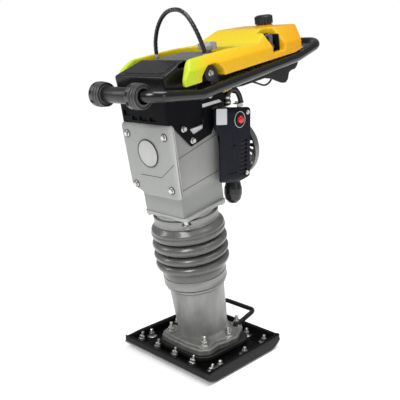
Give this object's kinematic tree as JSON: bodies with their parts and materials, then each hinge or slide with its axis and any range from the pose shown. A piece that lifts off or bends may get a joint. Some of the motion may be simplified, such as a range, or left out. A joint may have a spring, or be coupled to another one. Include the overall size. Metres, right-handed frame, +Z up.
{
  "type": "vibratory rammer",
  "caption": "Vibratory trench rammer: bellows leg on a flat shoe, crankcase with engine behind, sprung loop handle with rollers and a fuel tank.",
  "frame": {"origin": "centre of the sole plate's flat underside", "axes": "+Z up, -Y forward (the way the leg leans), +X to the machine's left"},
  "size_m": [0.33, 0.7018, 0.9535],
  "materials": {
    "yellow_plastic": "moulded, satin gloss",
    "filter_foam": "open-cell foam",
    "black_plastic": "moulded, fine grain",
    "grey_plastic": "moulded, satin",
    "red_plastic": "soft clear dome",
    "black_painted_steel": "powder coat, satin",
    "grey_casting": "cast and painted light grey",
    "grey_ram": "cast and painted dark grey",
    "rubber": "moulded, slightly glossy",
    "roller_rubber": "moulded",
    "steel": "plated or machined",
    "aluminium": "bare casting",
    "amber_hose": "clear-amber hose",
    "sole_steel": "worn plate",
    "pad_board": "dark pressed board"
  },
  "bodies": {
    "machine": {"crankcase": "grey_casting", "crankcase_cover": "grey_casting", "cover_bolt_1": "steel", "cover_bolt_2": "steel", "cover_bolt_3": "steel", "cover_bolt_4": "steel", "crank_bearing": "steel", "pinion_bearing": "steel", "engine_block": "aluminium", "spark_plug": "steel", "plug_boot": "rubber", "ignition_lead": "rubber", "engine_cowl": "black_plastic", "starter_housing": "aluminium", "carburettor": "aluminium", "fuel_hose": "amber_hose", "throttle_cable": "rubber", "lower_bumper": "rubber", "muffler": "steel", "front_console": "black_plastic", "shock_mount_left": "rubber", "shock_mount_right": "rubber", "air_filter_hood": "black_plastic", "filter_element": "filter_foam", "rear_cover": "grey_plastic", "lifting_loop": "rubber", "guide_cylinder": "steel", "upper_clamp": "steel", "bellows": "rubber", "upper_spring": "steel", "lower_spring": "steel"},
    "ram": {"ram_cylinder": "grey_ram", "shoe_pan": "black_painted_steel", "sole_plate": "sole_steel", "damping_pad": "pad_board", "grab_bar": "black_painted_steel", "lower_clamp": "steel"},
    "plunger": {"plunger": "steel"},
    "crank": {"crank_gear": "steel"},
    "rod": {"connecting_rod": "steel"},
    "pinion": {"drive_pinion": "steel"},
    "engine_shaft": {"engine_crankshaft": "steel"},
    "rope_pulley": {"starter_pulley": "black_plastic"},
    "rope_grip": {"starter_grip": "black_plastic", "starter_rope": "rubber"},
    "primer": {"primer_bulb": "red_plastic"},
    "knob": {"filter_knob": "grey_plastic"},
    "handle": {"handle_tube": "black_painted_steel", "roller_sleeve": "black_plastic", "side_rail_left": "black_painted_steel", "side_rail_right": "black_painted_steel", "front_crossmember": "black_painted_steel", "rear_crossmember": "black_painted_steel", "fuel_tank": "yellow_plastic"},
    "roller_l": {"roller_left": "roller_rubber"},
    "roller_r": {"roller_right": "roller_rubber"},
    "throttle": {"throttle_lever": "grey_plastic"},
    "cap_seat": {"cap_gasket": "rubber"},
    "cap": {"fuel_cap": "black_plastic"}
  },
  "joints": [
    {"name": "ram_stroke", "type": "slide", "parent": "machine", "child": "ram", "axis": [0, 0.1908, -0.9816], "range_m": [-0.035, 0.035], "stiffness_N_per_m": 30000, "springref_m": 0.0177, "deforming": ["bellows", "lower_spring", "upper_spring"]},
    {"name": "plunger_stroke", "type": "slide", "parent": "machine", "child": "plunger", "axis": [0, -0.1908, 0.9816], "range_m": [-0.016, 0.016], "stiffness_N_per_m": 40000},
    {"name": "crank_spin", "type": "hinge", "parent": "machine", "child": "crank", "pos_m": [0, -0.10346, 0.61352], "axis": [0, 0.9816, 0.1908], "continuous": true},
    {"name": "rod_spin", "type": "hinge", "parent": "crank", "child": "rod", "pos_m": [0, -0.10651, 0.62922], "axis": [0, 0.9816, 0.1908], "continuous": true},
    {"name": "pinion_spin", "type": "hinge", "parent": "machine", "child": "pinion", "pos_m": [0, -0.08914, 0.53989], "axis": [0, 0.9816, 0.1908], "continuous": true},
    {"name": "engine_spin", "type": "hinge", "parent": "machine", "child": "engine_shaft", "pos_m": [0, 0.00902, 0.55898], "axis": [0, 0.9816, 0.1908], "continuous": true},
    {"name": "grip_pull", "type": "slide", "parent": "machine", "child": "rope_grip", "axis": [0, 0.9816, 0.1908], "range_m": [0, 0.5], "stiffness_N_per_m": 12, "springref_m": -0.15, "deforming": ["starter_rope"]},
    {"name": "pulley_spin", "type": "hinge", "parent": "machine", "child": "rope_pulley", "pos_m": [0, 0.13565, 0.58359], "axis": [0, 0.9816, 0.1908], "range_deg": [0, 960]},
    {"name": "primer_press", "type": "slide", "parent": "machine", "child": "primer", "axis": [-1, 0, 0], "range_m": [0, 0.004], "stiffness_N_per_m": 2000},
    {"name": "filter_knob_turn", "type": "hinge", "parent": "machine", "child": "knob", "pos_m": [0.03, -0.0118, 0.84425], "axis": [0, -0.1908, 0.9816], "range_deg": [0, 360]},
    {"name": "handle_sway", "type": "hinge", "parent": "machine", "child": "handle", "pos_m": [0, -0.07757, 0.79479], "axis": [1, 0, 0], "range_deg": [-2.5, 2.5], "stiffness_Nm_per_rad": 3000, "deforming": ["fuel_hose", "throttle_cable"]},
    {"name": "roller_left_spin", "type": "hinge", "parent": "handle", "child": "roller_l", "pos_m": [0.064, -0.28025, 0.74215], "axis": [1, 0, 0], "continuous": true},
    {"name": "roller_right_spin", "type": "hinge", "parent": "handle", "child": "roller_r", "pos_m": [-0.064, -0.28025, 0.74215], "axis": [1, 0, 0], "continuous": true},
    {"name": "throttle_move", "type": "hinge", "parent": "handle", "child": "throttle", "pos_m": [0.092, 0.16694, 0.8576], "axis": [1, 0, 0], "range_deg": [-22, 22]},
    {"name": "cap_lift", "type": "slide", "parent": "handle", "child": "cap_seat", "axis": [0, -0.1908, 0.9816], "range_m": [0, 0.006]},
    {"name": "cap_turn", "type": "hinge", "parent": "cap_seat", "child": "cap", "pos_m": [0, 0.25626, 0.93791], "axis": [0, -0.1908, 0.9816], "range_deg": [0, 720]}
  ],
  "couplings": [
    {"joint": "rod_spin", "follows": "crank_spin", "ratio": -1},
    {"joint": "pinion_spin", "follows": "crank_spin", "ratio": -5},
    {"joint": "engine_spin", "follows": "crank_spin", "ratio": -5},
    {"joint": "pulley_spin", "follows": "grip_pull", "rad_per_m": 33.333},
    {"joint": "cap_turn", "follows": "cap_lift", "rad_per_m": 2094.4}
  ]
}
